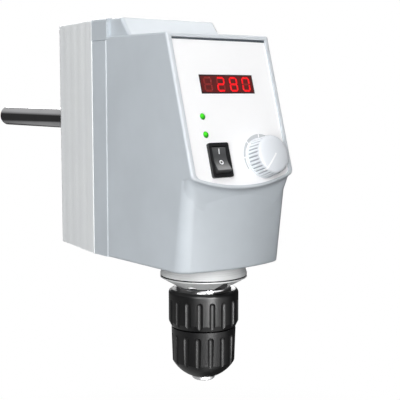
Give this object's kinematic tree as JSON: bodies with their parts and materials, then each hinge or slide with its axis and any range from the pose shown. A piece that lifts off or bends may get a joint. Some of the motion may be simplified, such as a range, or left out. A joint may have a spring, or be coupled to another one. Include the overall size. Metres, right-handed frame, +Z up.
{
  "type": "overhead stirrer head",
  "caption": "Overhead laboratory stirrer head: sloping panel with display, rocker switch and speed knob, keyless chuck below on a turned nose, tapered rear cover and a support rod.",
  "frame": {"origin": "centre of the chuck's mouth, on the spindle axis", "axes": "+Z up along the spindle, -Y to the front with the sloping panel, +Y to the rear along the rod"},
  "size_m": [0.083, 0.3332, 0.2395],
  "materials": {
    "housing_grey": "fine satin, pale blue grey",
    "cover_grey": "fine satin, pale silver grey",
    "panel_white": "smooth printed face plate",
    "window_red": "dark red filter",
    "led_green": "lit lamp",
    "black_plastic": "semi gloss black",
    "sleeve_black": "hard black plastic, semi gloss",
    "knob_white": "white moulded plastic",
    "knob_grey": "pale grey face",
    "turned_steel": "turned, fine rings",
    "hard_chrome": "polished",
    "cast_aluminium": "cast and machined",
    "lamination": "stacked sheets",
    "copper_wire": "enamelled copper",
    "board_green": "solder mask",
    "rubber_black": "soft seal",
    "pin_brass": "plated contact"
  },
  "bodies": {
    "housing": {"front_housing": "housing_grey", "mid_frame": "housing_grey", "top_cap": "housing_grey", "rear_cover": "cover_grey", "case_screws": "turned_steel", "frame_screws": "turned_steel", "control_panel": "panel_white", "display_window": "window_red", "display_module": "black_plastic", "indicator_leds": "led_green", "switch_body": "black_plastic", "rocker_pin": "turned_steel", "potentiometer_body": "black_plastic", "potentiometer_nut": "turned_steel", "control_board": "board_green", "board_pillars": "pin_brass", "power_board": "board_green", "power_pillars": "pin_brass", "power_transformer": "black_plastic", "power_capacitors": "black_plastic", "mains_inlet": "black_plastic", "inlet_pins": "pin_brass", "support_rod": "hard_chrome", "rod_collar": "turned_steel", "spindle_carrier": "cast_aluminium", "motor_can": "turned_steel", "motor_end_cap": "cast_aluminium", "stator_core": "lamination", "stator_windings": "copper_wire", "bearing_outer_rings": "turned_steel", "nose_ring": "cast_aluminium", "nose_gasket": "rubber_black", "nose_cone": "turned_steel", "nose_seal": "rubber_black", "nose_screws": "turned_steel"},
    "spindle_unit": {"spindle": "turned_steel", "rotor_core": "lamination", "rotor_magnets": "lamination", "bearing_inner_rings": "turned_steel", "chuck_body": "hard_chrome", "chuck_upper_sleeve": "sleeve_black"},
    "ball_set": {"bearing_balls": "hard_chrome"},
    "chuck_sleeve": {"chuck_lower_sleeve": "sleeve_black", "chuck_nut": "turned_steel"},
    "jaw_1": {"chuck_jaw_1": "turned_steel"},
    "jaw_2": {"chuck_jaw_2": "turned_steel"},
    "jaw_3": {"chuck_jaw_3": "turned_steel"},
    "knob": {"potentiometer_shaft": "turned_steel", "speed_knob": "knob_white", "knob_cap": "knob_grey", "knob_pointer": "panel_white"},
    "rocker": {"switch_rocker": "black_plastic"}
  },
  "joints": [
    {"name": "spindle_spin", "type": "hinge", "parent": "housing", "child": "spindle_unit", "pos_m": [0, 0, 0.1], "axis": [0, 0, 1], "continuous": true},
    {"name": "balls_roll", "type": "hinge", "parent": "housing", "child": "ball_set", "pos_m": [0, 0, 0.1], "axis": [0, 0, 1], "continuous": true},
    {"name": "chuck_turn", "type": "hinge", "parent": "spindle_unit", "child": "chuck_sleeve", "pos_m": [0, 0, 0.02], "axis": [0, 0, 1], "range_deg": [0, 2700]},
    {"name": "jaw_1_slide", "type": "slide", "parent": "spindle_unit", "child": "jaw_1", "axis": [-0.342, 0, -0.9397], "range_m": [0, 0.01447]},
    {"name": "jaw_2_slide", "type": "slide", "parent": "spindle_unit", "child": "jaw_2", "axis": [0.171, -0.2962, -0.9397], "range_m": [0, 0.01447]},
    {"name": "jaw_3_slide", "type": "slide", "parent": "spindle_unit", "child": "jaw_3", "axis": [0.171, 0.2962, -0.9397], "range_m": [0, 0.01447]},
    {"name": "speed_turn", "type": "hinge", "parent": "housing", "child": "knob", "pos_m": [0.0171, -0.03892, 0.14945], "axis": [0, 0.9588, -0.284], "range_deg": [-15, 285]},
    {"name": "mains_rock", "type": "hinge", "parent": "housing", "child": "rocker", "pos_m": [-0.0176, -0.03748, 0.14903], "axis": [1, 0, 0], "range_deg": [0, 20]}
  ],
  "couplings": [
    {"joint": "balls_roll", "follows": "spindle_spin", "ratio": 0.3936},
    {"joint": "chuck_turn", "follows": "jaw_1_slide", "rad_per_m": 3256},
    {"joint": "jaw_2_slide", "follows": "jaw_1_slide", "ratio": 1},
    {"joint": "jaw_3_slide", "follows": "jaw_1_slide", "ratio": 1}
  ]
}
